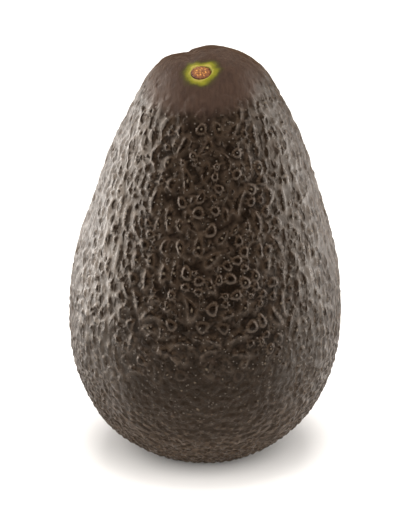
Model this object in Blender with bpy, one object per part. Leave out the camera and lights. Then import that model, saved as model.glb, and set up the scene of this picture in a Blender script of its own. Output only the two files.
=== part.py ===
"""A ripe avocado with a dark pebbled skin, standing on its broad end.

The fruit is one solid: a turned pear outline, leaning a little at the neck, with every pebble of the
skin raised from its surface. The trimmed stalk is a separate plug that sits in a shallow socket beside
the crown, tilted towards the front (-Y). The origin is the middle of the flat spot that the fruit
stands on, and +Z is up.
"""

import math
import random

import bmesh
import bpy
import numpy as np
from mathutils import Matrix, Vector

MM = 0.001

# Outline of the fruit, from the blossom end to the crown: (height, radius) in mm
OUTLINE = (
    (-1.2, 0.0),
    (3.0, 16.1),
    (14.2, 27.9),
    (31.0, 33.4),
    (50.0, 32.5),
    (68.5, 27.4),
    (85.0, 21.5),
    (96.5, 15.4),
    (102.2, 9.8),
    (103.8, 0.0),
)
OUTLINE_STEPS = 600

# How far the fruit is from a turned shape
NECK_LEAN = Vector((1.4, -0.5))  # mm at the crown, growing with the square of the height
FLATTENED = 0.012  # share of the radius by which the cross-section is oval
LOBED = 0.008  # share of the radius by which it is three-sided
LOBES_TURNED = 2.0  # radians from +X

# Pebbles of the skin: one raised point each, with the low points of the skin between them
PEBBLES = 1580
PEBBLE_RISE = (0.38, 0.62)  # mm above the outline
DELL_DEPTH = 0.45  # mm below the outline
CREASE = math.radians(42)  # edges bent more than this are shaded as creases
PLACE_JITTER = 0.6  # mm that a pebble may be off its place
POLE_MARGIN = 0.5  # mm that a pebble keeps from either pole
NARROWEST = 4.0  # mm: nearer the axis than this, a pebble's place round it is spread no wider
SEED = 11

# The stalk end: a bare, unpebbled crown with a dimple round the plug
STALK_AT = Vector((-0.9, -9.4))  # mm from the upright axis
STALK_TILT = math.radians(21)  # from upright towards the front
BARE_CROWN = (8.5, 16.0)  # mm from the stalk: no pebbles inside, all of them outside
DIMPLE_RADIUS = 6.5  # mm
DIMPLE_DEPTH = 0.8  # mm
DIMPLE_RINGS = ((1, 0.0), (14, 3.7), (18, 5.1), (20, 6.9))  # skin points: how many, mm from the stalk
RINGS_REACH = 8.6  # mm from the stalk inside which the rings take the place of the pebbles
SOCKET_RADIUS = 2.85  # mm
SOCKET_DEPTH = 2.8  # mm
SOCKET_CUTTER_ABOVE = 4.0  # mm that the cutter stands out of the skin
PLUG_GAP = 0.3  # mm between the plug and its socket
PLUG_FLUTES = 14  # notches that the fibre bundles leave round the rim
FLUTE_DEPTH = 0.22  # mm
PLUG_SHOULDER = Vector((0.7, 0.25))  # mm in from the rim, and mm up
PLUG_CROWN = 0.35  # mm that the middle of the plug stands over its rim

SKIN = ("avocado_skin", (0.040, 0.028, 0.022), 0.38)
STALK = ("dried_stalk", (0.42, 0.19, 0.06), 0.80)

GOLDEN_ANGLE = math.pi * (3 - math.sqrt(5))


def clear_scene():
    for old in list(bpy.data.objects):
        bpy.data.objects.remove(old)


def material(name, colour, roughness):
    made = bpy.data.materials.new(name)
    made.use_nodes = True
    shader = made.node_tree.nodes["Principled BSDF"]
    shader.inputs["Base Color"].default_value = (*colour, 1.0)
    shader.inputs["Roughness"].default_value = roughness
    shader.inputs["Metallic"].default_value = 0.0
    return made


def add_object(name, bm, finish=None):
    mesh = bpy.data.meshes.new(name)
    bm.to_mesh(mesh)
    bm.free()
    mesh.shade_smooth()
    mesh.set_sharp_from_angle(angle=CREASE)
    made = bpy.data.objects.new(name, mesh)
    if finish:
        mesh.materials.append(finish)
    bpy.context.scene.collection.objects.link(made)
    return made


def smoothstep(low, high, x):
    t = np.clip((x - low) / (high - low), 0.0, 1.0)
    return t * t * (3 - 2 * t)


def natural_spline(knots, values, at):
    """A curve through the values whose bend runs on smoothly at every knot."""
    step = np.diff(knots)
    count = len(knots)
    system = np.eye(count)
    load = np.zeros(count)
    for i in range(1, count - 1):
        system[i, i - 1 : i + 2] = step[i - 1], 2 * (step[i - 1] + step[i]), step[i]
        slopes = (values[i + 1] - values[i]) / step[i] - (values[i] - values[i - 1]) / step[i - 1]
        load[i] = 6 * slopes
    bend = np.linalg.solve(system, load)
    i = np.clip(np.searchsorted(knots, at) - 1, 0, count - 2)
    width = knots[i + 1] - knots[i]
    a = (knots[i + 1] - at) / width
    b = 1 - a
    return (
        a * values[i]
        + b * values[i + 1]
        + ((a**3 - a) * bend[i] + (b**3 - b) * bend[i + 1]) * width**2 / 6
    )


def outline_curve():
    """Radius and height along the outline, mirrored past both poles so that it closes level there."""
    points = np.array([(radius, height) for height, radius in OUTLINE])
    mirrored = points * (-1, 1)
    whole = np.vstack([mirrored[2:0:-1], points, mirrored[-2:-4:-1]])
    chords = np.linalg.norm(np.diff(whole, axis=0), axis=1)
    knots = np.concatenate([[0.0], np.cumsum(np.sqrt(chords))])
    at = np.linspace(knots[2], knots[-3], OUTLINE_STEPS)
    return natural_spline(knots, whole[:, 0], at), natural_spline(knots, whole[:, 1], at)


def crown_dimple(away):
    """How far the skin sinks towards the stalk, in mm, at a distance from it."""
    return DIMPLE_DEPTH * np.exp(-2 * (away / DIMPLE_RADIUS) ** 2)


def placed(radius, height, angle):
    """Points of the smooth fruit, in mm, from the outline's radius and height and an angle round it."""
    share = 1 + FLATTENED * np.sin(2 * angle) + LOBED * np.cos(3 * angle + LOBES_TURNED)
    lean = (height / OUTLINE[-1][0]) ** 2
    return np.stack(
        [
            radius * share * np.cos(angle) + NECK_LEAN.x * lean,
            radius * share * np.sin(angle) + NECK_LEAN.y * lean,
            height,
        ],
        axis=-1,
    )


def outline_walk():
    """Length walked, radius, height, area passed and turns made, from the blossom end to the crown.

    Turns are lengths counted in radii, which makes them latitudes on Mercator's map of the fruit.
    """
    radius, height = outline_curve()
    run = np.hypot(np.diff(radius), np.diff(height))
    middle = (radius[1:] + radius[:-1]) / 2
    length = np.concatenate([[0.0], np.cumsum(run)])
    area = np.concatenate([[0.0], np.cumsum(run * middle)])
    turns = np.concatenate([[0.0], np.cumsum(run / middle)])
    turns -= np.interp(area[-1] / 2, area, turns)
    return length, radius, height, area, turns


def pebble_spiral(length, radius, area):
    """Places along the outline and angles of the pebbles: a spiral that gives each a like share of skin."""
    draw = random.Random(SEED)
    off = PLACE_JITTER * np.array([(draw.uniform(-1, 1), draw.uniform(-1, 1)) for _ in range(PEBBLES)])
    turn = np.arange(PEBBLES)
    at = np.interp((turn + 0.5) / PEBBLES * area[-1], area, length) + off[:, 0]
    at = np.clip(at, POLE_MARGIN, length[-1] - POLE_MARGIN)
    around = np.maximum(np.interp(at, length, radius), NARROWEST)
    return at, turn * GOLDEN_ANGLE + off[:, 1] / around


def dimple_rings(length, radius):
    """Places along the outline and angles of the rings of points round the stalk."""
    crown = len(radius) // 2
    places = []
    for ring, (count, away) in enumerate(DIMPLE_RINGS):
        for i in range(count):
            turn = math.tau * (i + ring / 2) / count
            spot = STALK_AT - NECK_LEAN + away * Vector((math.cos(turn), math.sin(turn)))
            at = np.interp(-spot.length, -radius[crown:], length[crown:])
            places.append((at, math.atan2(spot.y, spot.x)))
    return np.array(places).T


def skin_points():
    """The skin's raised points, in mm, and their places on a sphere, where neighbours stay neighbours."""
    length, radius, height, area, turns = outline_walk()
    spiral = pebble_spiral(length, radius, area)
    rings = dimple_rings(length, radius)

    def on_fruit(at, angle):
        return placed(np.interp(at, length, radius), np.interp(at, length, height), angle)

    away = np.linalg.norm(on_fruit(*spiral) - np.array(stalk_point()), axis=1)
    at, angle = np.hstack([np.array(spiral)[:, away > RINGS_REACH], rings])
    latitude = np.arctan(np.sinh(np.interp(at, length, turns)))
    around = np.cos(latitude)
    on_sphere = np.stack([around * np.cos(angle), around * np.sin(angle), np.sin(latitude)], axis=1)
    return on_fruit(at, angle), on_sphere


def pebble_net(on_sphere):
    """Pairs of neighbouring triangles of pebbles: (pebble, pebble, left triangle, right triangle)."""
    net = bmesh.new()
    for i, place in enumerate(on_sphere):
        net.verts.new(place).index = i
    net.verts.index_update()
    bmesh.ops.convex_hull(net, input=net.verts)
    net.faces.index_update()
    triangles = [[v.index for v in face.verts] for face in net.faces]
    pairs = []
    for edge in net.edges:
        loop = edge.link_loops[0]
        first, second = loop.vert.index, loop.link_loop_next.vert.index
        pairs.append((first, second, loop.face.index, loop.link_loop_radial_next.face.index))
    net.free()
    return triangles, pairs


def skin_mesh():
    """The pebbled skin: each pebble is a low pyramid, whose corners are the dells round it."""
    tops, on_sphere = skin_points()
    triangles, pairs = pebble_net(on_sphere)
    dells = tops[np.array(triangles)].mean(axis=1)
    draw = random.Random(SEED + 1)
    rise = np.array([draw.uniform(*PEBBLE_RISE) for _ in tops])
    lift = np.concatenate([rise, np.full(len(dells), -DELL_DEPTH)])
    bm = bmesh.new()
    corners = [bm.verts.new(point) for point in np.vstack([tops, dells])]
    for first, second, left, right in pairs:
        left, right = left + len(tops), right + len(tops)
        bm.faces.new((corners[first], corners[right], corners[left]))
        bm.faces.new((corners[second], corners[left], corners[right]))
    bm.normal_update()
    stalk = stalk_point()
    for vert, amount in zip(corners, lift):
        away = (vert.co - stalk).length
        pebbled = smoothstep(*BARE_CROWN, away)
        vert.co += vert.normal * float(amount * pebbled - crown_dimple(away))
        vert.co.z = max(vert.co.z, 0.0)
    bmesh.ops.scale(bm, vec=(MM, MM, MM), verts=bm.verts)
    return bm


def stalk_point():
    """Where the stalk joins the smooth crown, in mm."""
    radius, height = outline_curve()
    crown = len(radius) // 2
    out = (STALK_AT - NECK_LEAN).length
    return Vector((*STALK_AT, np.interp(-out, -radius[crown:], height[crown:])))


def stalk_frame():
    """Origin in the dimple's floor, Z along the stalk."""
    tilt = Matrix.Rotation(STALK_TILT, 4, "X")
    base = stalk_point() - tilt.col[2].to_3d() * DIMPLE_DEPTH
    return Matrix.Translation(base * MM) @ tilt


def make_socket():
    """The cutter for the stalk's socket."""
    bm = bmesh.new()
    bmesh.ops.create_cone(
        bm,
        cap_ends=True,
        segments=2 * PLUG_FLUTES,
        radius1=SOCKET_RADIUS * MM,
        radius2=SOCKET_RADIUS * MM,
        depth=(SOCKET_DEPTH + SOCKET_CUTTER_ABOVE) * MM,
        matrix=Matrix.Translation((0, 0, (SOCKET_CUTTER_ABOVE - SOCKET_DEPTH) / 2 * MM)),
    )
    cutter = add_object("socket_cutter", bm)
    cutter.matrix_world = stalk_frame()
    cutter.display_type = "WIRE"
    cutter.hide_render = True
    return cutter


def make_fruit(finish, socket):
    fruit = add_object("fruit", skin_mesh(), finish)
    cut = fruit.modifiers.new("stalk_socket", "BOOLEAN")
    cut.operation = "DIFFERENCE"
    cut.object = socket
    return fruit


def make_plug(finish):
    """The trimmed stalk: a short fluted plug with a low domed top."""
    bm = bmesh.new()
    outer = SOCKET_RADIUS - PLUG_GAP
    length = SOCKET_DEPTH - PLUG_GAP
    bmesh.ops.create_circle(bm, cap_ends=True, segments=2 * PLUG_FLUTES, radius=outer * MM)
    bmesh.ops.translate(bm, vec=(0, 0, -length * MM), verts=bm.verts)
    bmesh.ops.reverse_faces(bm, faces=bm.faces)
    raised = bmesh.ops.extrude_face_region(bm, geom=bm.faces[:], use_keep_orig=True)["geom"]
    rim = [part for part in raised if isinstance(part, bmesh.types.BMVert)]
    bmesh.ops.translate(bm, vec=(0, 0, length * MM), verts=rim)
    for i, vert in enumerate(sorted(rim, key=lambda v: math.atan2(v.co.y, v.co.x))):
        if i % 2:
            vert.co.xy *= 1 - FLUTE_DEPTH / outer
    bm.normal_update()
    top = [part for part in raised if isinstance(part, bmesh.types.BMFace)]
    inwards, up = PLUG_SHOULDER * MM
    bmesh.ops.inset_region(bm, faces=top, thickness=inwards, depth=up)
    middle = bmesh.ops.poke(bm, faces=top)["verts"][0]
    middle.co.z = PLUG_CROWN * MM
    bmesh.ops.recalc_face_normals(bm, faces=bm.faces)
    plug = add_object("stem_plug", bm, finish)
    plug.matrix_world = stalk_frame()
    return plug


def main():
    clear_scene()
    make_fruit(material(*SKIN), make_socket())
    make_plug(material(*STALK))


main()
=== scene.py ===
"""The looks of a ripe avocado: its pebbled rind, the dry stalk end in the crown, and the photo studio.

Lengths are in millimetres in the shape code and in metres in Blender. Front is -Y and up is +Z.
"""

import math
import random

import bpy
import numpy as np
from bpy.props import FloatProperty, FloatVectorProperty, IntProperty, PointerProperty, StringProperty
from bpy.types import NodeSocket, Operator, Panel, PropertyGroup
from mathutils import Matrix, Vector
from mathutils.geometry import delaunay_2d_cdt
from mathutils.kdtree import KDTree


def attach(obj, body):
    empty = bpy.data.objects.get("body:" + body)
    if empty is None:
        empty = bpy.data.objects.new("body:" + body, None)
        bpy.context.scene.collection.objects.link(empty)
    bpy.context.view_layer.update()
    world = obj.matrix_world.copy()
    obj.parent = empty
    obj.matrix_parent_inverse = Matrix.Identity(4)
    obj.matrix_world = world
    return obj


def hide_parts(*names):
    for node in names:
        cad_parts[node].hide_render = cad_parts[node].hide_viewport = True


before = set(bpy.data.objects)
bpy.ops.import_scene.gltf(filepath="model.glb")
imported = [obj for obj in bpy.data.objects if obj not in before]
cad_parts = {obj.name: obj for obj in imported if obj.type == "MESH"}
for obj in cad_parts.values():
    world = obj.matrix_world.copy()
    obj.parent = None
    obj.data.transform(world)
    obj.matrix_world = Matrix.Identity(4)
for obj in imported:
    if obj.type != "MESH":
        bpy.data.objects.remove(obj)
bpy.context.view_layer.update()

bl_info = {
    "name": "Ripe avocado",
    "version": (1, 0, 0),
    "blender": (4, 5, 0),
    "location": "View3D > Sidebar > Avocado",
    "description": "Makes a ripe avocado with a dark pebbled rind, and a white studio for it",
    "category": "Mesh",
}

MM = 0.001
PHOTO_SIZE = (409, 512)  # pixels

# Outline of the fruit, from the blossom end to the crown: (height, radius) in mm
OUTLINE = (
    (-1.2, 0.0),
    (3.0, 16.1),
    (14.2, 27.9),
    (31.0, 33.4),
    (50.0, 32.5),
    (68.5, 27.4),
    (85.0, 21.5),
    (96.5, 15.4),
    (102.2, 9.8),
    (103.8, 0.0),
)
OUTLINE_STEPS = 1200
CROWN_HEIGHT = OUTLINE[-1][0]
NECK_LEAN = Vector((1.4, -0.5))  # mm at the crown, growing with the square of the height
FLATTENED = 0.012  # share of the radius by which the cross-section is oval
LOBED = 0.008  # share of the radius by which it is three-sided
LOBES_TURNED = 2.0  # radians from +X

# The stalk end
STALK_AT = Vector((-0.9, -9.4))  # mm from the upright axis
STALK_TILT = math.radians(21)  # from upright towards the front
DIMPLE_RADIUS = 6.5  # mm
DIMPLE_DEPTH = 0.8  # mm
SOCKET_RADIUS = 2.6  # mm
SOCKET_DEPTH = 2.8  # mm

# Rings of skin points round the stalk, from the socket's rim to the edge of the dimple, in mm
DIMPLE_RINGS = (SOCKET_RADIUS, 2.75, 2.9, 3.05, 3.2, 3.45, 3.7, 4.0, 4.4, 4.8, 5.3, 5.8, 6.4, 7.0, 7.7, 8.4)
DIMPLE_RING_POINTS = 64

# Green round the stalk end, where scale leaves once stood: direction and reach of each lobe
STAR = ((8, 5.0), (55, 5.6), (118, 5.5), (176, 4.9), (-137, 5.0), (-90, 4.6), (-51, 4.6))  # degrees, mm
STAR_BASE = 4.2  # mm
STAR_LOBE = 0.36  # radians, half the width of a lobe
STAR_DEPTH = 8.0  # mm under the stalk's root from where no skin belongs to the star
OUTSIDE_STAR = 9.0

# The stalk's broken face
FACE_RINGS = 6  # rings of points inwards from the rim
RINGS_TO_RADIUS = 7.5  # radius over the width of a ring
FACE_RISE = 0.16  # mm that the middle stands over the rim
NOTCH_DROP = 0.26  # mm that a notch lies lower than the rim
NOTCH_SHARE = 0.05  # share of the radius that a notch goes in

# The floor, a round sheet of paper
FLOOR_RADIUS = 0.5  # m
FLOOR_BACK = 0.22  # m that its middle lies behind the fruit

# The warts: tries of each pass, and narrowest and widest wart as a share of the common width
WART_PASSES = ((5000, 0.92, 1.2), (9000, 0.64, 0.86), (26000, 0.42, 0.56))
BARE_BLOSSOM_END = 12.0  # mm walked from the lowest point without warts
BARE_TOP = 2.0  # mm walked from the highest point without warts
BARE_STALK = 8.0  # mm from the stalk without warts
SMALL_WART = 0.5  # mm of half width, under which a wart stays short
LOW_WART = 0.05  # mm of height, under which a wart gets no points of its own
PORE_GLINT_SHARE = 0.3  # share of the warts that have a pale pore in the middle, partly a lenticel and partly a painted glint
POINT_SPACING = 0.2  # mm: of two points nearer than about this, one is left out

# Creases across the front, above the blossom end
CREASE_HEIGHT = 42.0  # mm
CREASE_SPREAD = 6.0  # mm
CREASE_ANGLE = -1.75  # radians from +X
CREASE_WITHIN = 0.88  # cosine of the angle that they reach to either side

GOLDEN_ANGLE = math.pi * (3 - math.sqrt(5))


def linear(colour):
    """The linear RGBA of an sRGB hex colour such as '#2b2019'."""
    shares = [int(colour[i : i + 2], 16) / 255 for i in (1, 3, 5)]
    return (*[s / 12.92 if s <= 0.04045 else ((s + 0.055) / 1.055) ** 2.4 for s in shares], 1.0)


def add_node(tree, kind, inputs=None, **settings):
    """A node with its settings, and with each input given by name or number set or linked."""
    node = tree.nodes.new(kind)
    for name, value in settings.items():
        setattr(node, name, value)
    for key, value in (inputs or {}).items():
        if isinstance(value, NodeSocket):
            tree.links.new(value, node.inputs[key])
        else:
            node.inputs[key].default_value = value
    return node


def set_ramp(node, stops):
    """Gives a colour ramp its stops, from (position, hex colour) pairs in rising order."""
    ramp = node.color_ramp
    while len(ramp.elements) > 1:
        ramp.elements.remove(ramp.elements[-1])
    ramp.elements[0].position = stops[0][0]
    ramp.elements[0].color = linear(stops[0][1])
    for at, colour in stops[1:]:
        ramp.elements.new(at).color = linear(colour)


def new_material(name):
    """A material with an empty tree but for its shader and output: (material, tree, shader)."""
    made = bpy.data.materials.new(name)
    made.use_nodes = True
    return made, made.node_tree, made.node_tree.nodes["Principled BSDF"]


def deselect_all():
    bpy.ops.object.select_all(action="DESELECT")


def make_active(piece):
    deselect_all()
    piece.select_set(True)
    bpy.context.view_layer.objects.active = piece


def smoothstep(low, high, x):
    """0 up to low, 1 from high on, and a smooth rise between them."""
    t = np.clip((x - low) / (high - low), 0.0, 1.0)
    return t * t * (3 - 2 * t)


def natural_spline(knots, values, at):
    """A curve through the values whose bend runs on smoothly at every knot."""
    step = np.diff(knots)
    count = len(knots)
    system = np.eye(count)
    load = np.zeros(count)
    for i in range(1, count - 1):
        system[i, i - 1 : i + 2] = step[i - 1], 2 * (step[i - 1] + step[i]), step[i]
        slopes = (values[i + 1] - values[i]) / step[i] - (values[i] - values[i - 1]) / step[i - 1]
        load[i] = 6 * slopes
    bend = np.linalg.solve(system, load)
    i = np.clip(np.searchsorted(knots, at) - 1, 0, count - 2)
    width = knots[i + 1] - knots[i]
    a = (knots[i + 1] - at) / width
    b = 1 - a
    return (
        a * values[i]
        + b * values[i + 1]
        + ((a**3 - a) * bend[i] + (b**3 - b) * bend[i + 1]) * width**2 / 6
    )


class Rind:
    """The smooth outside of the fruit, in mm.

    A place on it is a length walked up the outline from the blossom end, and an angle round the axis.
    """

    def __init__(self):
        # past both ends the outline runs on mirrored, so that it crosses the axis level
        points = np.array([(radius, height) for height, radius in OUTLINE])
        mirrored = points * (-1, 1)
        whole = np.vstack([mirrored[2:0:-1], points, mirrored[-2:-4:-1]])
        chords = np.linalg.norm(np.diff(whole, axis=0), axis=1)
        knots = np.concatenate([[0.0], np.cumsum(np.sqrt(chords))])
        at = np.linspace(knots[2], knots[-3], OUTLINE_STEPS)
        self.radius = natural_spline(knots, whole[:, 0], at)
        self.height = natural_spline(knots, whole[:, 1], at)
        run = np.hypot(np.diff(self.radius), np.diff(self.height))
        middle = (self.radius[1:] + self.radius[:-1]) / 2
        self.walked = np.concatenate([[0.0], np.cumsum(run)])
        self.area = np.concatenate([[0.0], np.cumsum(run * middle)])
        # the length walked in radii, as a map that keeps angles needs it
        turns = np.concatenate([[0.0], np.cumsum(run / middle)])
        self.turns = turns - np.interp(self.area[-1] / 2, self.area, turns)
        self.stalk = self.place_over(*STALK_AT)
        self.stalk_point = self.points(*self.stalk)

    def radius_at(self, walked):
        return np.interp(walked, self.walked, self.radius)

    def place_over(self, x, y):
        """The place of the crown that stands over a point of the ground."""
        crown = len(self.radius) // 2
        out = np.hypot(x - NECK_LEAN.x, y - NECK_LEAN.y)
        walked = np.interp(-out, -self.radius[crown:], self.walked[crown:])
        return walked, np.arctan2(y - NECK_LEAN.y, x - NECK_LEAN.x)

    def points(self, walked, angle):
        height = np.interp(walked, self.walked, self.height)
        share = 1 + FLATTENED * np.sin(2 * angle) + LOBED * np.cos(3 * angle + LOBES_TURNED)
        radius = self.radius_at(walked) * share
        lean = (height / CROWN_HEIGHT) ** 2
        return np.stack(
            [
                radius * np.cos(angle) + NECK_LEAN.x * lean,
                radius * np.sin(angle) + NECK_LEAN.y * lean,
                height,
            ],
            axis=-1,
        )

    def directions(self, walked, angle):
        """Unit vectors up the outline, round the axis and outwards at each place."""
        reach = 0.4
        up = self.points(walked + reach, angle) - self.points(walked - reach, angle)
        up /= np.linalg.norm(up, axis=-1, keepdims=True)
        aside = np.stack([-np.sin(angle), np.cos(angle), np.zeros_like(angle)], axis=-1)
        out = np.cross(aside, up)
        return up, aside, out / np.linalg.norm(out, axis=-1, keepdims=True)

    def on_ball(self, walked, angle):
        """Each place moved to a unit ball in a way that keeps angles."""
        latitude = np.arctan(np.sinh(np.interp(walked, self.walked, self.turns)))
        around = np.cos(latitude)
        return np.stack([around * np.cos(angle), around * np.sin(angle), np.sin(latitude)], axis=-1)

    def flat_map(self, walked, angle):
        """A flat map that keeps angles and has the stalk infinitely far out, to net points on."""
        turned = Vector(self.on_ball(*self.stalk)).rotation_difference(Vector((0, 0, 1)))
        ball = self.on_ball(walked, angle) @ np.array(turned.to_matrix()).T
        return ball[:, :2] / (1 - ball[:, 2:])


def stalk_frame(rind):
    """Origin in the dimple's floor, Z along the stalk, in metres."""
    tilt = Matrix.Rotation(STALK_TILT, 4, "X")
    base = Vector(rind.stalk_point) - tilt.col[2].to_3d() * DIMPLE_DEPTH
    return Matrix.Translation(base * MM) @ tilt


def bare_crown(rind, points):
    """1 on the smooth skin round the stalk and over the crown, 0 where the warts have full height."""
    start = np.array([STALK_AT.x, STALK_AT.y + 1.0, 100.0])
    run = np.array([2.0, 13.0, 2.0])
    off = points - start
    share = np.clip(off @ run / (run @ run), 0, 1)
    away = np.linalg.norm((off - share[..., None] * run) * (0.76, 1.0, 1.0), axis=-1)
    return 1 - smoothstep(6.5, 13.5, away)


class Crowd:
    """Round spots on the skin, kept in cells, to see whether a new one has room."""

    CELL = 3.2  # mm, more than the widest two spots together

    def __init__(self):
        self.cells = {}

    def cell(self, point):
        return tuple(int(c // self.CELL) for c in point)

    def has_room(self, point, radius):
        i, j, k = self.cell(point)
        for di in (-1, 0, 1):
            for dj in (-1, 0, 1):
                for dk in (-1, 0, 1):
                    for x, y, z, other in self.cells.get((i + di, j + dj, k + dk), ()):
                        apart = (x - point[0]) ** 2 + (y - point[1]) ** 2 + (z - point[2]) ** 2
                        if apart < (radius + other) ** 2:
                            return False
        return True

    def add(self, point, radius):
        self.cells.setdefault(self.cell(point), []).append((*point, radius))


def wart_spots(rind, wart):
    """Centres of the round spots that a wart is made of, from one end to the other."""
    walked, angle, half_length, half_width, turn, bend, *_ = wart
    reach = half_length - half_width
    count = 1 + 2 * math.ceil(reach / (1.4 * half_width))
    x = np.linspace(-reach, reach, count)
    y = bend * x**2 / half_length
    steps = walked + x * math.cos(turn) - y * math.sin(turn)
    return rind.points(steps, angle + (x * math.sin(turn) + y * math.cos(turn)) / rind.radius_at(steps))


def spread_warts(rind, settings):
    """Places and shapes of the warts: rows of walked, angle, half length, half width, turn, bend,
    taper, height and flatness of the top. The large ones find their places before the small."""
    draw = random.Random(settings.seed)
    crowd = Crowd()
    found = []
    total = rind.area[-1]
    end = rind.walked[-1]
    for tries, narrowest, widest in WART_PASSES:
        for _ in range(tries):
            walked = float(np.interp(draw.random() * total, rind.area, rind.walked))
            angle = draw.uniform(0, math.tau)
            # side is 1 on the flanks, where the warts are long ridges that stand close together
            side = float(smoothstep(0.45, 0.85, abs(math.cos(angle))))
            half_width = settings.wart_width / 2 * draw.uniform(narrowest, widest) * (1 - 0.2 * side)
            height_here = float(np.interp(walked, rind.walked, rind.height))
            # scaly is 1 at the blossom end, where they shrink to a net
            scaly = float(max(smoothstep(17, 9, height_here), side * smoothstep(36, 22, height_here)))
            half_width *= 1 - 0.4 * scaly * (half_width > 0.62)
            kind = draw.random()
            turn = draw.gauss(0, 0.3 - 0.16 * side)
            bend = draw.uniform(-0.5, 0.5) * (1 - 0.5 * side)
            high = draw.uniform(0.75, 1.15)
            packed = max(scaly, float(smoothstep(0.25, 0.6, abs(math.cos(angle)))))
            gap = draw.uniform(0.0, settings.wart_gap) * (1 - 0.85 * packed)
            point = rind.points(walked, angle)
            if not BARE_BLOSSOM_END < walked < end - BARE_TOP:
                continue
            if np.linalg.norm(point - rind.stalk_point) < BARE_STALK:
                continue
            bare = float(bare_crown(rind, point))
            low = float(smoothstep(27 - 15 * side, 46 - 18 * side, point[2] + draw.uniform(-5, 5)))
            # the kind decides between a nearly round wart and a longer one
            round_share = 0.26 - 0.06 * side
            length = 1.0 + kind
            if kind >= round_share:
                length = 1.5 + (2.8 + 2.4 * side) * (kind - round_share)
            length = min(length, 3.3 - 1.7 * scaly)
            if half_width < SMALL_WART:
                length = min(length, 1.6 + side)
                if side > 0.5 and scaly < 0.3 and kind < 0.6:
                    continue
            half_width *= 1 - 0.14 * (1 - side) * (length > 1.6)
            creased = 0.9 * math.exp(-(((point[2] - CREASE_HEIGHT) / CREASE_SPREAD) ** 2))
            creased *= math.cos(angle - CREASE_ANGLE) > CREASE_WITHIN
            if draw.random() < creased:
                turn += math.pi / 2
                length = 2.0 + 2.2 * kind
                bend = draw.uniform(0.3, 0.9)
                half_width *= 0.75
            margin = half_width * length + 1.5
            if not margin < walked < end - margin:
                continue
            bend *= length > 1.4
            taper = draw.uniform(-0.25, 0.25) * (length > 1.2)
            height = settings.wart_height * high * min(1.0, half_width / 0.6)
            height *= (0.3 + 0.7 * max(low, 0.75 * scaly)) * (1 - 0.9 * bare) * (1 - 0.12 * side)
            height *= 1 - 0.35 * float(smoothstep(0.86, 0.98, abs(math.cos(angle))))
            flat = 0.75 - 0.5 * side
            wart = (walked, angle, half_width * length, half_width, turn, bend, taper, height, flat)
            spots = wart_spots(rind, wart)
            if all(crowd.has_room(spot, half_width + gap) for spot in spots):
                found.append(wart)
                for spot in spots:
                    crowd.add(spot, half_width)
    return np.array(found)


def wobble(walked, angle, around):
    """How far out a wart's irregular outline is in each direction round it, as a share."""
    phase = 7.3 * walked + 11.9 * angle
    return 1 + 0.11 * np.sin(2 * around + phase) + 0.08 * np.sin(3 * around + 2.1 * phase)


def wart_rings(rind, warts):
    """Places of the points that outline each wart: its middle and rings up its wall.

    A ring is its number of points and how far out it lies, as a share of the wart's outline.
    """
    places = []
    for walked, angle, half_length, half_width, turn, bend, taper, height, _ in warts:
        if height < LOW_WART:
            continue
        # a common wart, then a long one, then a small one
        outer = max(9, round(math.pi * (half_length + half_width) / 0.66))
        rings = ((1, 0.0), (outer // 2, 0.5), (outer, 0.78), (outer, 1.0), (outer, 1.22))
        if half_length > 1.8 * half_width and half_width > SMALL_WART:
            outer = round(math.pi * (half_length + half_width) / 0.95)
            rings = ((1, 0.0), (outer // 2, 0.45), (outer, 0.78), (outer, 1.08))
        elif half_width < 0.62:
            rings = ((1, 0.0), (7, 0.65), (7, 1.05))
        for count, share in rings:
            phase = math.pi / count if share in (0.78, 0.65, 1.22) else 0.0
            around = np.arange(count) * math.tau / count + phase
            reach = share * wobble(walked, angle, around)
            x = half_length * reach * np.cos(around)
            y = half_width * reach * np.sin(around) * (1 + taper * x / half_length)
            y += bend * x**2 / half_length
            up = x * math.cos(turn) - y * math.sin(turn)
            aside = x * math.sin(turn) + y * math.cos(turn)
            steps = walked + up
            places.append(np.stack([steps, angle + aside / rind.radius_at(steps)]))
    return np.hstack(places)


def valley_places(rind, warts, pitch):
    """Places between the warts, on a spiral, so that the skin there keeps its curve."""
    count = int(math.tau * rind.area[-1] / (pitch**2 * math.sqrt(0.75)))
    turn = np.arange(count)
    walked = np.interp((turn + 0.5) / count * rind.area[-1], rind.area, rind.walked)
    angle = turn * GOLDEN_ANGLE % math.tau
    points = rind.points(walked, angle)
    clear = np.ones(count, bool)
    tree = KDTree(count)
    for i, point in enumerate(points):
        tree.insert(point, i)
    tree.balance()
    centres = rind.points(warts[:, 0], warts[:, 1])
    for centre, wart in zip(centres, warts):
        for _, i, _ in tree.find_range(centre, wart[3] * 1.35):
            clear[i] = False
    away = np.linalg.norm(points - rind.stalk_point, axis=1)
    clear &= away > 9.0
    return np.stack([walked[clear], angle[clear]])


def dimple_places(rind):
    """Places in rings round the stalk, from the socket's rim to the edge of the dimple."""
    places = []
    count = DIMPLE_RING_POINTS
    for ring, away in enumerate(DIMPLE_RINGS):
        turn = (np.arange(count) + ring / 2) * math.tau / count
        x = STALK_AT.x + away * np.cos(turn)
        y = STALK_AT.y + away * np.sin(turn) * math.cos(STALK_TILT)
        places.append(np.stack(rind.place_over(x, y)))
    return np.hstack(places)


def thinned(rind, places, pitch):
    """The places without the later ones of those that share a cell of a fine grid."""
    walked, angle = places
    cells = np.stack([walked // pitch, (angle % math.tau) * rind.radius_at(walked) // pitch], axis=1)
    _, first = np.unique(cells.astype(int), axis=0, return_index=True)
    return places[:, np.sort(first)]


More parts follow.
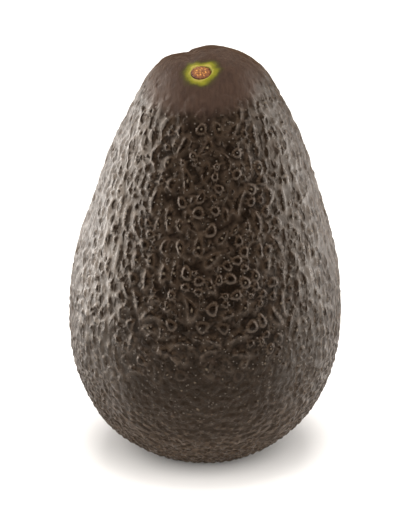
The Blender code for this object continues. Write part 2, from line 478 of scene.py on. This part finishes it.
def wart_relief(rind, warts, points, seed):
    """Height of the highest wart at each point, and whether it is on a wall or a pale lenticel, also a
    painted glint.
    """
    high = np.zeros(len(points))
    wall = np.zeros(len(points))
    pore_glint = np.zeros(len(points))
    draw = random.Random(seed)
    tree = KDTree(len(points))
    for i, point in enumerate(points):
        tree.insert(point, i)
    tree.balance()
    centres = rind.points(warts[:, 0], warts[:, 1])
    ups, asides, _ = rind.directions(warts[:, 0], warts[:, 1])
    for centre, up, aside, wart in zip(centres, ups, asides, warts):
        walked, angle, half_length, half_width, turn, bend, taper, height, flat = wart
        reach = math.hypot(half_length * 1.3, half_width * 1.3 + abs(bend) * half_length)
        near = np.array([i for _, i, _ in tree.find_range(centre, reach)], int)
        off = points[near] - centre
        x = off @ up * math.cos(turn) + off @ aside * math.sin(turn)
        y = off @ aside * math.cos(turn) - off @ up * math.sin(turn) - bend * x**2 / half_length
        y /= 1 + taper * np.clip(x / half_length, -1, 1)
        share = np.sqrt((x / half_length) ** 2 + (y / half_width) ** 2)
        share /= wobble(walked, angle, np.arctan2(y / half_width, x / half_length))
        dome = height * (1 - (1 - flat) * np.minimum(share, 1) ** 2 - flat * np.minimum(share, 1) ** 6)
        high[near] = np.maximum(high[near], dome)
        band = smoothstep(0.58, 0.84, share) * smoothstep(1.16, 0.98, share)
        wall[near] = np.maximum(wall[near], band * smoothstep(0.06, 0.56, height))
        # some warts get a pale pore in the middle: partly a lenticel, partly a painted glint of the small
        # front light
        if draw.random() < PORE_GLINT_SHARE:
            pore_glint[near] = np.maximum(pore_glint[near], 1 - 2 * share)
    return high, wall, pore_glint


def swell(points, settings):
    """The fruit's low, wide unevenness, in mm."""
    draw = random.Random(settings.seed + 5)
    total = np.zeros(len(points))
    for _ in range(9):
        way = Vector((draw.gauss(0, 1), draw.gauss(0, 1), draw.gauss(0, 0.8))).normalized()
        wave = draw.uniform(11, 26)
        total += np.sin(points @ np.array(way) * math.tau / wave + draw.uniform(0, math.tau))
    return settings.swell_height * total / 3


def crown_relief(rind, points):
    """Height in mm of the dimple with its lip, the two shoulders and the furrow between them."""
    away = np.linalg.norm(points - rind.stalk_point, axis=1)
    dimple = -DIMPLE_DEPTH * np.exp(-2 * (away / DIMPLE_RADIUS) ** 2)
    lip = 0.2 * np.exp(-(((away - 3.0) / 0.35) ** 2))
    x, y, z = points.T
    top = smoothstep(90, 97, z)
    back = np.exp(-(((y - 5.0) / 7.0) ** 2))
    right_shoulder = top * back * 0.8 * smoothstep(-4.5, -1.0, x) * np.exp(-(((x - 4.0) / 7.0) ** 2))
    left_shoulder = top * back * 1.0 * np.exp(-(((x + 9.5) / 4.0) ** 2))
    track = -2.6 - 0.17 * (y + 6.0) + 0.5 * np.sin(y / 2.2)
    run = smoothstep(-7.0, -3.0, y) * smoothstep(14.0, 7.0, y)
    furrow = top * run * 0.5 * np.exp(-(((x - track) / 1.1) ** 2))
    return dimple + lip + right_shoulder + left_shoulder - furrow


def green_star(rind, points):
    """How far out of the green star each point lies: 0 at the stalk, 1 on the star's edge, and
    well over 1 on all skin far below the stalk."""
    across = np.array(stalk_frame(rind).to_3x3()).T
    off = (points - rind.stalk_point) @ across.T
    away = np.hypot(off[:, 0], off[:, 1])
    turn = np.arctan2(off[:, 1], off[:, 0])
    reach = np.full(len(points), STAR_BASE)
    for degrees, length in STAR:
        apart = np.abs((turn - math.radians(degrees) + math.pi) % math.tau - math.pi)
        reach += (length - STAR_BASE) * np.exp(-((apart / STAR_LOBE) ** 2))
    return np.where(off[:, 2] > -STAR_DEPTH, away / reach, OUTSIDE_STAR)


def streakiness(rind, angle, points):
    """How deep the skin is pitted between its ridges: only at the sides, above the blossom end."""
    aside = np.abs(np.cos(angle))
    side = smoothstep(0.4, 0.75, aside) * (1 - 0.6 * smoothstep(0.84, 0.97, aside))
    low = smoothstep(12, 32, points[:, 2])
    return side * low * (1 - 0.8 * bare_crown(rind, points))


def scaliness(points):
    """Highest on the matt blossom end with its net of small scales, 0 above it."""
    return 0.8 - 0.8 * smoothstep(16, 42, points[:, 2])


def net_faces(rind, places):
    """Triangles that join the places, as a Delaunay net on the flat map, seen from outside."""
    flat = rind.flat_map(*places)
    found = delaunay_2d_cdt(flat.tolist(), [], [], 0, 0.0, False)
    if len(found[0]) != places.shape[1]:
        raise RuntimeError("two places of the skin fell together")
    return np.array(found[2])


def close_socket(skin, rind):
    """Turns the open rim round the stalk down into a socket with a floor."""
    down = -(stalk_frame(rind).col[2].to_3d()) * SOCKET_DEPTH * MM
    make_active(skin)
    bpy.ops.object.mode_set(mode="EDIT")
    bpy.ops.mesh.select_mode(type="EDGE")
    bpy.ops.mesh.select_all(action="DESELECT")
    bpy.ops.mesh.select_non_manifold()
    bpy.ops.mesh.extrude_region_move(TRANSFORM_OT_translate={"value": down})
    bpy.ops.mesh.edge_face_add()
    bpy.ops.mesh.select_all(action="SELECT")
    bpy.ops.mesh.normals_make_consistent(inside=False)
    bpy.ops.object.mode_set(mode="OBJECT")
    bpy.ops.object.shade_smooth_by_angle(angle=math.radians(62))


def attribute(tree, name):
    """The value that the mesh keeps at each of its points under this name."""
    return add_node(tree, "ShaderNodeAttribute", attribute_name=name).outputs["Fac"]


def joined(tree, operation, first, second):
    """Two values joined by a math operation."""
    return add_node(tree, "ShaderNodeMath", {0: first, 1: second}, operation=operation).outputs[0]


def scaled_sum(tree, value, factor, extra, clamped=False):
    """A value times a factor, plus an extra."""
    inputs = {0: value, 1: factor, 2: extra}
    return add_node(tree, "ShaderNodeMath", inputs, operation="MULTIPLY_ADD", use_clamp=clamped).outputs[0]


def remapped(tree, value, start, stop, kind="LINEAR", to=(0.0, 1.0)):
    """A value whose range from start to stop is stretched to another, or to 0 to 1."""
    inputs = {"Value": value, "From Min": start, "From Max": stop, "To Min": to[0], "To Max": to[1]}
    return add_node(tree, "ShaderNodeMapRange", inputs, interpolation_type=kind).outputs[0]


def painted(tree, cover, below, colour):
    """A colour laid over the one below, as far as the cover goes."""
    return add_node(tree, "ShaderNodeMix", {0: cover, 6: below, 7: colour}, data_type="RGBA").outputs[2]


def stretched(tree, place, scale):
    """Coordinates that draw a pattern out along each axis whose scale is below 1."""
    return add_node(tree, "ShaderNodeMapping", {"Vector": place, "Scale": scale}).outputs["Vector"]


def noise(tree, place, size, detail, roughness=0.5):
    """Cloudy noise whose patches are about size mm wide."""
    inputs = {"Vector": place, "Scale": 1 / (size * MM), "Detail": detail, "Roughness": roughness}
    return add_node(tree, "ShaderNodeTexNoise", inputs).outputs["Fac"]


def cells(tree, place, size, **settings):
    """Irregular cells about size mm wide."""
    return add_node(tree, "ShaderNodeTexVoronoi", {"Vector": place, "Scale": 1 / (size * MM)}, **settings)


def bumped(tree, strength, depth, height, below=None):
    """The normal after a bump of the given depth in mm, over the bump below."""
    inputs = {"Strength": strength, "Distance": depth * MM, "Height": height}
    if below is not None:
        inputs["Normal"] = below
    return add_node(tree, "ShaderNodeBump", inputs).outputs[0]


def rind_material(rind, settings):
    """Avocado rind, ripe: dark corky warts with waxy rims on dark mottled skin. Each wart's wall band gets
    a lighter colour, a painted highlight, and some warts get a pale pore that is also a painted glint. The
    wax gives each wart a soft bright rim and the flanks their shine; the pits between the flanks' ridges
    get painted shade; the bare crown is browner and duller, the blossom end is matt with a net of scales,
    and green shows at the stalk."""
    made, tree, shader = new_material("avocado_rind")
    place = add_node(tree, "ShaderNodeTexCoord").outputs["Object"]
    wart = attribute(tree, "wart")
    wall = attribute(tree, "wall")
    pore_glint = attribute(tree, "pore_glint")
    bare = attribute(tree, "bare")
    star = attribute(tree, "star")
    scaly = attribute(tree, "scaly")
    streaky = attribute(tree, "streaky")

    # dark mottled skin, lighter at the blossom end
    corns = noise(tree, place, 0.5, 2.0, 0.7)
    mottle = remapped(tree, corns, 0.35, 0.65)
    skin = painted(tree, mottle, linear(settings.dark_hex), linear(settings.brown_hex))
    skin = painted(tree, scaly, skin, linear(settings.low_hex))

    # pits and furrows between the ridges of the flanks
    ridges = noise(tree, stretched(tree, place, (1.0, 1.0, 0.42)), 2.3, 1.0)
    ridges = remapped(tree, ridges, 0.33, 0.49, "SMOOTHSTEP")
    furrows = scaled_sum(tree, ridges, -0.55, 0.55)
    dots = cells(tree, stretched(tree, place, (1.0, 1.0, 0.55)), 2.5).outputs["Distance"]
    dots = remapped(tree, dots, 0.4, 0.16, "SMOOTHSTEP")
    pits = joined(tree, "MULTIPLY", joined(tree, "MAXIMUM", furrows, dots), streaky)

    # painted highlight on the wart rims, painted shade in the pits, and pale pores, partly lenticels and
    # partly painted glints
    # painted highlight: a lighter colour on each wart's wall band, strongest at the blossom end
    painted_rim_highlight = joined(tree, "MULTIPLY", wall, scaled_sum(tree, scaly, 0.3, 0.52))
    skin = painted(tree, painted_rim_highlight, skin, linear(settings.rim_highlight_hex))
    # painted shade: the pits get a darker colour
    skin = painted(tree, pits, skin, linear(settings.pit_shade_hex))
    skin = painted(tree, remapped(tree, pore_glint, 0.4, 0.9), skin, linear(settings.pore_glint_hex))

    # the bare crown with hanging streaks and a frayed edge
    fray = noise(tree, place, 2.2, 4.0)
    bald = remapped(tree, scaled_sum(tree, fray, 0.7, bare), 0.4, 0.95)
    streaks = noise(tree, stretched(tree, place, (1.0, 0.35, 0.25)), 0.8, 3.0, 0.6)
    crown = add_node(tree, "ShaderNodeValToRGB", {0: streaks})
    set_ramp(crown, ((0.3, settings.dusk_hex), (0.65, settings.crown_hex)))
    skin = painted(tree, bald, skin, crown.outputs["Color"])

    # the green star round the stalk
    reach = joined(tree, "SUBTRACT", scaled_sum(tree, fray, 0.5, star), 0.25)
    halo = add_node(tree, "ShaderNodeValToRGB", {0: reach})
    set_ramp(halo, ((0.56, settings.lip_hex), (0.68, settings.halo_hex), (1.0, settings.olive_hex)))
    skin = painted(tree, remapped(tree, reach, 1.2, 0.75, "SMOOTHSTEP"), skin, halo.outputs["Color"])

    # pale specks all over but on the crown
    grains = cells(tree, place, 1.0)
    speck = remapped(tree, grains.outputs["Distance"], 0.24, 0.12)
    pick = add_node(tree, "ShaderNodeSeparateXYZ", {0: grains.outputs["Color"]}).outputs[0]
    speck = joined(tree, "MULTIPLY", speck, joined(tree, "GREATER_THAN", pick, 0.55))
    speck = joined(tree, "MULTIPLY", speck, joined(tree, "SUBTRACT", 1.0, bald))
    skin = painted(tree, speck, skin, linear(settings.speck_hex))
    tree.links.new(skin, shader.inputs["Base Color"])

    # wax: sleeker on the warts, and what each feature adds to the gloss of the plain skin
    waxed = remapped(tree, wart, 0.2, 0.9, to=(0.33, 0.25))
    dull = add_node(tree, "ShaderNodeMix", {0: bald, 2: waxed, 3: 0.55}).outputs[0]
    tree.links.new(dull, shader.inputs["Roughness"])
    edge = add_node(tree, "ShaderNodeLayerWeight", {"Blend": 0.5}).outputs["Facing"]
    edge = joined(tree, "POWER", edge, 2.0)
    gloss = settings.plain_gloss
    adding = ((wart, 0.04), (wall, 0.32), (streaky, 0.26), (bald, 0.01), (scaly, 0.07), (edge, -0.24))
    for feature, added in adding:
        gloss = scaled_sum(tree, feature, added, gloss)
    # the lower gloss in the pits also stands in for their shade
    gloss = scaled_sum(tree, pits, -0.2, gloss, clamped=True)
    tree.links.new(gloss, shader.inputs["Specular IOR Level"])
    shader.inputs["IOR"].default_value = settings.wax_ior
    shader.inputs["Specular Tint"].default_value = linear(settings.wax_hex)
    shader.inputs["Sheen Weight"].default_value = settings.bloom
    shader.inputs["Sheen Roughness"].default_value = settings.bloom_roughness
    shader.inputs["Sheen Tint"].default_value = linear(settings.bloom_hex)

    # fine relief: small warts, pits, scales, streaks and grain
    small = cells(tree, stretched(tree, place, (1.0, 1.0, 0.75)), 1.9).outputs["Distance"]
    small = remapped(tree, small, 0.42, 0.22, "SMOOTHSTEP")
    scales = cells(tree, place, 1.6, feature="SMOOTH_F1").outputs["Distance"]
    netted = joined(tree, "MULTIPLY", scales, scaly)
    calm = scaled_sum(tree, bald, -0.75, scaled_sum(tree, wart, -0.8, 1.0), clamped=True)
    sleek = scaled_sum(tree, streaky, -0.6, calm, clamped=True)
    rough = scaled_sum(tree, scaly, 0.6, sleek)
    bump = bumped(tree, sleek, settings.small_height, small)
    bump = bumped(tree, 1.0, -settings.pit_depth, pits, bump)
    bump = bumped(tree, 1.0, -settings.scale_height, netted, bump)
    bump = bumped(tree, bald, settings.streak_depth, streaks, bump)
    bump = bumped(tree, rough, settings.grain_depth, corns, bump)
    tree.links.new(bump, shader.inputs["Normal"])
    return made


def stalk_material(settings):
    """Dried stalk, snapped off: corky orange-brown fibre ends, matt and crumbly, darker at the rim, with
    painted shade in the notches between the fibre bundles.
    """
    made, tree, shader = new_material("dried_stalk_end")
    place = add_node(tree, "ShaderNodeTexCoord").outputs["Object"]
    crumbs = noise(tree, place, 0.5, 3.0, 0.7)
    # the rim value darkens the rim and the side, and puts painted shade in the notches
    shade = scaled_sum(tree, attribute(tree, "rim"), -0.55, crumbs)
    fibres = add_node(tree, "ShaderNodeValToRGB", {0: shade})
    stops = ((0.1, settings.rim_and_notch_shade_hex), (0.42, settings.fibre_hex), (0.52, settings.fibre_hex))
    set_ramp(fibres, (*stops, (0.6, settings.crumb_hex)))
    tree.links.new(fibres.outputs["Color"], shader.inputs["Base Color"])
    shader.inputs["Roughness"].default_value = settings.roughness
    tree.links.new(bumped(tree, 0.8, settings.crumb_depth, crumbs), shader.inputs["Normal"])
    return made


class SkinSettings(PropertyGroup):
    seed: IntProperty(name="Seed", description="Which of the possible fruits is made", default=7)
    wart_gap: FloatProperty(name="Gap", description="Widest gap left between two warts, in mm", default=0.45)
    wart_width: FloatProperty(name="Width", description="Width of a common wart, in mm", default=2.3)
    wart_height: FloatProperty(name="Height", description="Height of a wart, in mm", default=0.56)
    valley_pitch: FloatProperty(
        name="Valleys", description="Pitch of the points between warts, in mm", default=1.7
    )
    swell_height: FloatProperty(
        name="Swell", description="Height of the wide unevenness, in mm", default=0.22
    )
    pit_depth: FloatProperty(
        name="Pit depth", description="Depth of the pits at the sides, in mm", default=0.34
    )
    small_height: FloatProperty(
        name="Small warts", description="Height of the small warts, in mm", default=0.12
    )
    scale_height: FloatProperty(
        name="Scales", description="Height of the scales at the low end, in mm", default=1.5
    )
    streak_depth: FloatProperty(
        name="Streaks", description="Depth of the streaks on the crown, in mm", default=0.22
    )
    grain_depth: FloatProperty(name="Grain", description="Depth of the fine grain, in mm", default=0.13)
    plain_gloss: FloatProperty(name="Gloss", description="Specular level of the plain skin", default=0.1)
    wax_ior: FloatProperty(name="IOR", description="Index of refraction of the wax", default=1.44)
    bloom: FloatProperty(name="Bloom weight", description="Strength of the dusty bloom", default=0.11)
    bloom_roughness: FloatProperty(name="Bloom spread", description="Roughness of the bloom", default=0.4)
    wax_hex: StringProperty(name="Wax", description="Tint of the wax's gloss", default="#fff0e0")
    bloom_hex: StringProperty(name="Bloom", description="Tint of the dusty bloom", default="#f0cba8")
    low_hex: StringProperty(name="Low end", description="Colour of the blossom end", default="#1c140d")
    # the lighter colour of the walls is a painted highlight in the wart rims
    rim_highlight_hex: StringProperty(name="Walls", description="Colour of the walls of a wart", default="#3c2f24")
    # the darker colour of the pits is painted shade
    pit_shade_hex: StringProperty(name="Pits", description="Colour of the pits at the sides", default="#170f08")
    # the pale pore is partly a lenticel and partly a painted glint
    pore_glint_hex: StringProperty(name="Pores", description="Colour of the pore on a wart", default="#4a4136")
    dark_hex: StringProperty(name="Dark", description="Darkest skin colour", default="#040201")
    brown_hex: StringProperty(name="Brown", description="Lightest skin colour", default="#120b06")
    crown_hex: StringProperty(name="Crown", description="Colour of the bare crown", default="#2f221b")
    dusk_hex: StringProperty(name="Dusk", description="Darker streaks on the crown", default="#251a15")
    lip_hex: StringProperty(name="Lip", description="Colour next to the stalk", default="#766c30")
    halo_hex: StringProperty(name="Halo", description="Colour round the stalk", default="#5a5812")
    olive_hex: StringProperty(name="Olive", description="Outer colour of the halo", default="#2a2b09")
    speck_hex: StringProperty(name="Specks", description="Colour of the pale specks", default="#48423c")


class StalkSettings(PropertyGroup):
    radius: FloatProperty(name="Radius", description="Radius of the stalk end, in mm", default=2.55)
    length: FloatProperty(
        name="Length", description="Depth of the stalk end in its socket, in mm", default=2.4
    )
    proud: FloatProperty(
        name="Rise", description="Height of its rim above the dimple's floor, in mm", default=0.22
    )
    flutes: IntProperty(
        name="Notches", description="Notches that fibre bundles leave round the rim", default=14
    )
    crumble: FloatProperty(name="Crumble", description="Unevenness of the broken face, in mm", default=0.16)
    seed: IntProperty(name="Seed", description="Which broken face is made", default=3)
    crumb_depth: FloatProperty(name="Grain", description="Depth of the crumbs, in mm", default=0.2)
    roughness: FloatProperty(name="Roughness", description="How matt the fibres are", default=0.75)
    # the rim colour also paints the shade in the notches
    rim_and_notch_shade_hex: StringProperty(name="Rim", description="Colour of the rim", default="#3d1a08")
    fibre_hex: StringProperty(name="Fibre", description="Colour of the fibres", default="#562e0c")
    crumb_hex: StringProperty(name="Crumbs", description="Colour of the crumbs", default="#a06d2c")


class StageSettings(PropertyGroup):
    camera_height: FloatProperty(
        name="Height", description="Angle above the horizon", default=math.radians(20), subtype="ANGLE"
    )
    camera_away: FloatProperty(name="Distance", description="Camera to fruit", default=0.9, unit="LENGTH")
    pixel: FloatProperty(
        name="Pixel", description="What one pixel of the photo covers, in mm", default=0.2482
    )
    aim: FloatVectorProperty(
        name="Aim", description="Point at the picture's middle", default=(-0.0001, 0.0, 0.0514), unit="LENGTH"
    )
    left_light: FloatProperty(
        name="Left light", description="Power of the left softbox", default=1.48, unit="POWER"
    )
    right_light: FloatProperty(
        name="Right light", description="Power of the right softbox", default=0.7, unit="POWER"
    )
    top_light: FloatProperty(
        name="Top light", description="Power of the overhead softbox", default=2.4, unit="POWER"
    )
    back_light: FloatProperty(
        name="Back light", description="Power of the lit backdrop", default=6.5, unit="POWER"
    )
    fill_top: FloatProperty(
        name="Fill from above", description="Matt light from above", default=9.0, unit="POWER"
    )
    fill_low: FloatProperty(
        name="Low fill", description="Matt light from low in front", default=5.8, unit="POWER"
    )
    fill_high: FloatProperty(
        name="High fill", description="Matt light from high in front", default=12.8, unit="POWER"
    )
    front_light: FloatProperty(
        name="Front light", description="Power of the small front light", default=0.25, unit="POWER"
    )
    tent_light: FloatProperty(name="Tent", description="Brightness of the white surroundings", default=0.77)
    floor_hex: StringProperty(name="Floor", description="Colour of the floor", default="#e8e6e4")


class AVOCADO_OT_skin(Operator):
    """Make the pebbled skin of the fruit"""

    bl_idname = "avocado.skin"
    bl_label = "Skin"

    def execute(self, context):
        settings = context.scene.avocado_skin
        rind = Rind()
        warts = spread_warts(rind, settings)
        drawn = np.hstack([wart_rings(rind, warts), valley_places(rind, warts, settings.valley_pitch)])
        places = np.hstack([dimple_places(rind), thinned(rind, drawn, POINT_SPACING)])
        faces = net_faces(rind, places)
        smooth = rind.points(*places)
        _, _, out = rind.directions(*places)
        away = np.linalg.norm(smooth - rind.stalk_point, axis=1)
        lift, wall, pore_glint = wart_relief(rind, warts, smooth, settings.seed)
        wart = np.clip(lift / (0.8 * settings.wart_height), 0, 1)
        lift += swell(smooth, settings) * smoothstep(6, 14, away) * smoothstep(2, 10, smooth[:, 2])
        lift += crown_relief(rind, smooth)
        points = smooth + out * lift[:, None]
        points[:, 2] = np.maximum(points[:, 2], 0.0)
        streaky = streakiness(rind, places[1], smooth)
        mesh = bpy.data.meshes.new("pebbled_skin")
        mesh.from_pydata(points * MM, [], faces)
        for name, values in (
            ("wart", wart),
            ("wall", wall * (1 - 0.5 * streaky)),
            ("pore_glint", pore_glint),
            ("bare", bare_crown(rind, smooth)),
            ("star", green_star(rind, smooth)),
            ("streaky", streaky),
            ("scaly", scaliness(smooth)),
        ):
            mesh.attributes.new(name, "FLOAT", "POINT").data.foreach_set("value", values)
        skin = bpy.data.objects.new("pebbled_skin", mesh)
        context.scene.collection.objects.link(skin)
        close_socket(skin, rind)
        mesh.materials.append(rind_material(rind, settings))
        print("skin", len(warts), "warts", len(mesh.vertices), "points", len(mesh.polygons), "faces")
        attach(skin, "root")
        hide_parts("fruit")
        return {"FINISHED"}


class AVOCADO_OT_stalk(Operator):
    """Make the dry end of the stalk in its socket"""

    bl_idname = "avocado.stalk"
    bl_label = "Stalk end"

    def execute(self, context):
        settings = context.scene.avocado_stalk
        rind = Rind()
        where = stalk_frame(rind)
        draw = random.Random(settings.seed)
        sides = settings.flutes * 4
        deselect_all()
        bpy.ops.mesh.primitive_circle_add(vertices=sides, radius=settings.radius * MM, fill_type="NGON")
        plug = context.object
        plug.name = "stalk_end"
        mesh = plug.data
        bpy.ops.object.mode_set(mode="EDIT")
        bpy.ops.mesh.select_all(action="SELECT")
        bpy.ops.mesh.extrude_region_move(TRANSFORM_OT_translate={"value": (0, 0, settings.length * MM)})
        for _ in range(FACE_RINGS):
            bpy.ops.mesh.inset(thickness=settings.radius * MM / RINGS_TO_RADIUS, depth=0)
        bpy.ops.mesh.poke()
        bpy.ops.mesh.select_all(action="SELECT")
        bpy.ops.mesh.normals_make_consistent(inside=False)
        bpy.ops.object.mode_set(mode="OBJECT")
        rim = mesh.attributes.new("rim", "FLOAT", "POINT")
        top = settings.length * MM
        for vert in mesh.vertices:
            out = vert.co.xy.length / (settings.radius * MM)
            if vert.co.z > top / 2:
                turn = math.atan2(vert.co.y, vert.co.x)
                notch = max(0.0, math.cos(turn * settings.flutes)) ** 2 * smoothstep(0.5, 1.0, out)
                # the notches get painted shade, the outer edge the rim's own darker colour
                rim.data[vert.index].value = 0.4 * notch + 0.7 * smoothstep(0.78, 1.0, out)
                vert.co.z += MM * (FACE_RISE * (1 - out**2) - NOTCH_DROP * notch)
                vert.co.z += MM * settings.crumble * draw.uniform(-1, 1) * (1 - 0.6 * out)
                vert.co.xy *= 1 - NOTCH_SHARE * notch
            else:
                rim.data[vert.index].value = 1.0
            vert.co.z -= top - settings.proud * MM
        mesh.transform(where)
        make_active(plug)
        shape = plug.modifiers.new("rounding", "SUBSURF")
        shape.levels = shape.render_levels = 1
        bpy.ops.object.modifier_apply(modifier=shape.name)
        bpy.ops.object.shade_smooth_by_angle(angle=math.radians(50))
        mesh = plug.data
        mesh.materials.clear()
        mesh.materials.append(stalk_material(settings))
        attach(plug, "root")
        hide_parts("stem_plug")
        return {"FINISHED"}


def add_softbox(name, size, power, at, aim, colour):
    """A rectangular area light that the camera doesn't see."""
    lamp = bpy.data.lights.new(name, "AREA")
    lamp.shape = "RECTANGLE"
    lamp.color = colour
    lamp.size, lamp.size_y = size
    lamp.energy = power
    box = bpy.data.objects.new(name, lamp)
    box.location = at
    box.rotation_euler = (Vector(aim) - Vector(at)).to_track_quat("-Z", "Y").to_euler()
    box.visible_camera = False
    bpy.context.scene.collection.objects.link(box)
    return box


def paper_material(settings):
    """Matt white paper: it takes the fruit's soft shadow and has next to no gloss."""
    made, _, shader = new_material("white_paper")
    shader.inputs["Base Color"].default_value = linear(settings.floor_hex)
    shader.inputs["Roughness"].default_value = 0.9
    shader.inputs["Specular IOR Level"].default_value = 0.1
    return made


class AVOCADO_OT_stage(Operator):
    """Make the white floor, the softboxes and the camera"""

    bl_idname = "avocado.stage"
    bl_label = "Stage"

    def execute(self, context):
        settings = context.scene.avocado_stage
        scene = context.scene
        scene.view_settings.view_transform = "Standard"
        deselect_all()
        bpy.ops.mesh.primitive_circle_add(
            vertices=96, radius=FLOOR_RADIUS, fill_type="NGON", location=(0, FLOOR_BACK, 0)
        )
        floor = context.object
        floor.name = "floor"
        bpy.ops.object.transform_apply(location=True, rotation=True, scale=True)
        floor.data.materials.append(paper_material(settings))

        warm = (1.0, 0.955, 0.91)
        neutral = (1.0, 0.985, 0.965)
        # name, size, power, place and aim of each light; the matt ones give no reflections, the
        # others give nothing else
        left = ("softbox_left", (0.27, 0.22), settings.left_light, (-0.15, 0.06, 0.115), (0, 0.06, 0.115))
        right = ("softbox_right", (0.23, 0.22), settings.right_light, (0.15, 0.03, 0.124), (0, 0.03, 0.124))
        top = ("softbox_top", (0.9, 0.8), settings.top_light, (0, 0.15, 0.85), (0, 0.15, 0))
        back = ("softbox_back", (1.6, 0.9), settings.back_light, (-0.3, 0.9, 0.45), (0, 0, 0.45))
        front = ("spot_front", (0.05, 0.05), settings.front_light, (0, -0.75, 0.5), (0, 0, 0.06))
        fill_top = ("fill_top", (0.6, 0.6), settings.fill_top, (0, 0, 0.9), (0, 0, 0))
        fill_low = ("fill_low", (1.4, 0.5), settings.fill_low, (0, -1.0, 0.33), (0, 0, 0.05))
        fill_high = ("fill_high", (1.4, 0.9), settings.fill_high, (0, -0.75, 0.75), (0, 0, 0.05))
        matt = (fill_top, fill_low, fill_high)
        for light in (left, right, top, back, front, *matt):
            box = add_softbox(*light, neutral if light in matt else warm)
            box.visible_diffuse = light in matt
            box.visible_glossy = light not in matt

        tent = bpy.data.worlds.new("white_tent")
        tent.use_nodes = True
        glow = tent.node_tree.nodes["Background"]
        glow.inputs["Color"].default_value = (1.0, 0.975, 0.95, 1.0)
        glow.inputs["Strength"].default_value = settings.tent_light
        scene.world = tent
        tent.cycles_visibility.glossy = False

        lens = bpy.data.cameras.new("camera")
        lens.sensor_fit = "VERTICAL"
        lens.sensor_height = 36.0
        seen_height = PHOTO_SIZE[1] * settings.pixel * MM
        lens.lens = lens.sensor_height * settings.camera_away / seen_height
        camera = bpy.data.objects.new("camera", lens)
        aim = Vector(settings.aim)
        rise = settings.camera_height
        camera.location = aim + settings.camera_away * Vector((0, -math.cos(rise), math.sin(rise)))
        camera.rotation_euler = (aim - camera.location).to_track_quat("-Z", "Y").to_euler()
        scene.collection.objects.link(camera)
        scene.camera = camera
        return {"FINISHED"}


class AVOCADO_PT_panel(Panel):
    bl_label = "Avocado"
    bl_idname = "AVOCADO_PT_panel"
    bl_space_type = "VIEW_3D"
    bl_region_type = "UI"
    bl_category = "Avocado"

    def draw(self, context):
        for operator, group in OPERATORS:
            box = self.layout.box()
            box.operator(operator.bl_idname)
            settings = getattr(context.scene, group)
            for name in settings.bl_rna.properties.keys():
                if name not in ("rna_type", "name"):
                    box.prop(settings, name)


OPERATORS = (
    (AVOCADO_OT_stage, "avocado_stage"),
    (AVOCADO_OT_skin, "avocado_skin"),
    (AVOCADO_OT_stalk, "avocado_stalk"),
)
GROUPS = (("avocado_skin", SkinSettings), ("avocado_stalk", StalkSettings), ("avocado_stage", StageSettings))


def register():
    for name, group in GROUPS:
        bpy.utils.register_class(group)
        setattr(bpy.types.Scene, name, PointerProperty(type=group))
    for operator, _ in OPERATORS:
        bpy.utils.register_class(operator)
    bpy.utils.register_class(AVOCADO_PT_panel)


def unregister():
    bpy.utils.unregister_class(AVOCADO_PT_panel)
    for operator, _ in OPERATORS:
        bpy.utils.unregister_class(operator)
    for name, group in GROUPS:
        delattr(bpy.types.Scene, name)
        bpy.utils.unregister_class(group)


def main():
    register()
    bpy.ops.avocado.stage()
    bpy.ops.avocado.skin()
    bpy.ops.avocado.stalk()


if __name__ == "__main__":
    main()
